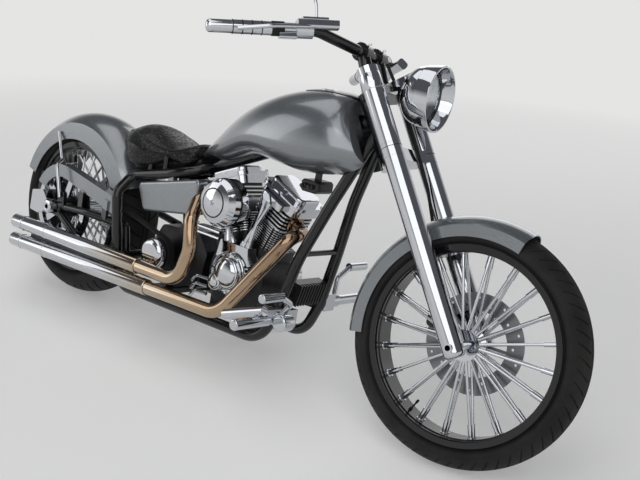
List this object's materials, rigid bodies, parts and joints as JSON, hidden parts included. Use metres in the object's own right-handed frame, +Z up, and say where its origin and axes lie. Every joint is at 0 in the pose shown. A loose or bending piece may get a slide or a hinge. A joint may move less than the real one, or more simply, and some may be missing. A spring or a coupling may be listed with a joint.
{
  "type": "chopper motorcycle",
  "caption": "Long custom chopper motorcycle with a V-twin engine, wire wheels, stretched tank and low side exhausts, leaning on its side stand.",
  "frame": {"origin": "middle of the footprint, on the ground, parked on the side stand", "axes": "+X towards the front wheel along the machine, +Y to the rider's left, +Z up"},
  "size_m": [2.3824, 0.8514, 1.3637],
  "materials": {
    "body_paint": "metallic gloss",
    "cast_alloy": "polished",
    "chrome": "polished",
    "disc_steel": "dark",
    "engine_black": "satin with bright edges",
    "frame_black": "gloss",
    "glass": "clear",
    "leather": "embossed",
    "pipe_chrome": "polished, heat tinted",
    "rubber": "matte",
    "tyre": "matte"
  },
  "bodies": {
    "frame": {"frame_head": "frame_black", "frame_left": "frame_black", "frame_right": "frame_black", "swingarm": "frame_black", "crankcase": "cast_alloy", "front_cylinder": "engine_black", "rear_cylinder": "engine_black", "front_rocker_box": "chrome", "rear_rocker_box": "chrome", "pushrod_tubes": "chrome", "cam_cover": "chrome", "air_cleaner": "chrome", "carburettor": "cast_alloy", "gearbox": "cast_alloy", "primary_cover": "chrome", "output_cover": "chrome", "drive_belt": "rubber", "belt_guard": "body_paint", "upper_exhaust": "pipe_chrome", "lower_exhaust": "pipe_chrome", "fuel_tank": "body_paint", "seat": "leather", "oil_tank": "body_paint", "rear_fender": "body_paint", "fender_struts": "chrome", "rear_axle": "chrome", "axle_block": "chrome", "rear_caliper": "chrome", "right_foot_control": "chrome", "left_foot_control": "chrome", "regulator": "engine_black"},
    "rear_wheel": {"rear_tyre": "tyre", "rear_rim": "frame_black", "rear_spokes": "chrome", "rear_pulley": "engine_black", "rear_disc": "disc_steel"},
    "fork": {"lower_yoke": "frame_black", "upper_yoke": "frame_black", "fork_leg_right": "chrome", "fork_leg_left": "chrome", "handlebar": "frame_black", "right_hand_control": "chrome", "left_hand_control": "chrome", "headlight": "chrome", "headlight_lens": "glass", "front_brake_hose": "rubber", "front_fender": "body_paint", "front_axle": "chrome", "front_caliper": "frame_black"},
    "front_wheel": {"front_tyre": "tyre", "front_rim": "frame_black", "front_spokes": "chrome", "front_disc": "disc_steel"},
    "side_stand": {"side_stand": "chrome"}
  },
  "joints": [
    {"name": "steering", "type": "hinge", "parent": "frame", "child": "fork", "pos_m": [0.45127, 0.01136, 0.82313], "axis": [-0.5567, 0.144, 0.8182], "range_deg": [-42, 18]},
    {"name": "front_wheel_spin", "type": "hinge", "parent": "fork", "child": "front_wheel", "pos_m": [0.84961, -0.06107, 0.33933], "axis": [-0.1732, 0.9431, -0.2838], "continuous": true},
    {"name": "rear_wheel_spin", "type": "hinge", "parent": "frame", "child": "rear_wheel", "pos_m": [-0.86431, -0.07652, 0.32883], "axis": [-0.0005, 0.9848, -0.1736], "continuous": true},
    {"name": "side_stand_fold", "type": "hinge", "parent": "frame", "child": "side_stand", "pos_m": [-0.16505, 0.02993, 0.08959], "axis": [0.0552, 0.4945, 0.8674], "range_deg": [0, 97.4]}
  ]
}
